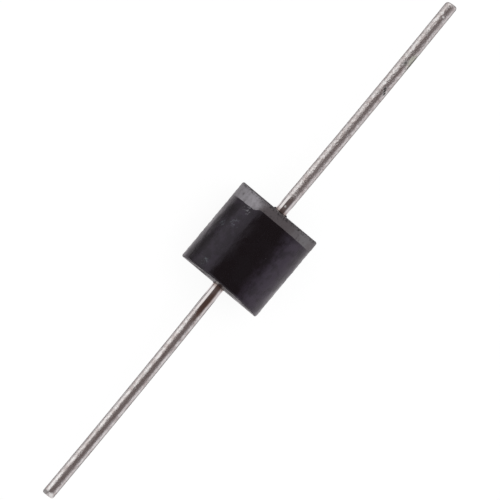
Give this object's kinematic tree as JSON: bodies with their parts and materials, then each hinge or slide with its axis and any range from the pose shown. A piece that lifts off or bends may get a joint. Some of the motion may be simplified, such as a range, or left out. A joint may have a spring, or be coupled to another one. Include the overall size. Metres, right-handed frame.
{
  "type": "axial rectifier diode",
  "caption": "Moulded cylindrical rectifier diode with a pale cathode band at one end and a straight tinned wire lead out of each end.",
  "frame": {"origin": "middle of the case, on the axis of the two leads", "axes": "+X along the leads towards the banded cathode end; the case's mould parting plane is z = 0, and +Z is square to it"},
  "size_m": [0.06, 0.009, 0.009],
  "materials": {
    "epoxy": "black epoxy moulding compound, semi-gloss, lightly scuffed",
    "band_ink": "grey ink band printed on the case, satin",
    "tinned_wire": "copper wire with a bright, slightly mottled tin plating",
    "solder": "dull grey high-lead solder",
    "silicon": "dark blue-grey silicon with a lapped face",
    "coating": "milky soft silicone coating"
  },
  "bodies": {
    "root": {"molded_body": "epoxy", "cathode_band": "band_ink", "cathode_lead": "tinned_wire", "anode_lead": "tinned_wire", "cathode_solder": "solder", "anode_solder": "solder", "silicon_chip": "silicon", "junction_coating": "coating"}
  },
  "joints": []
}
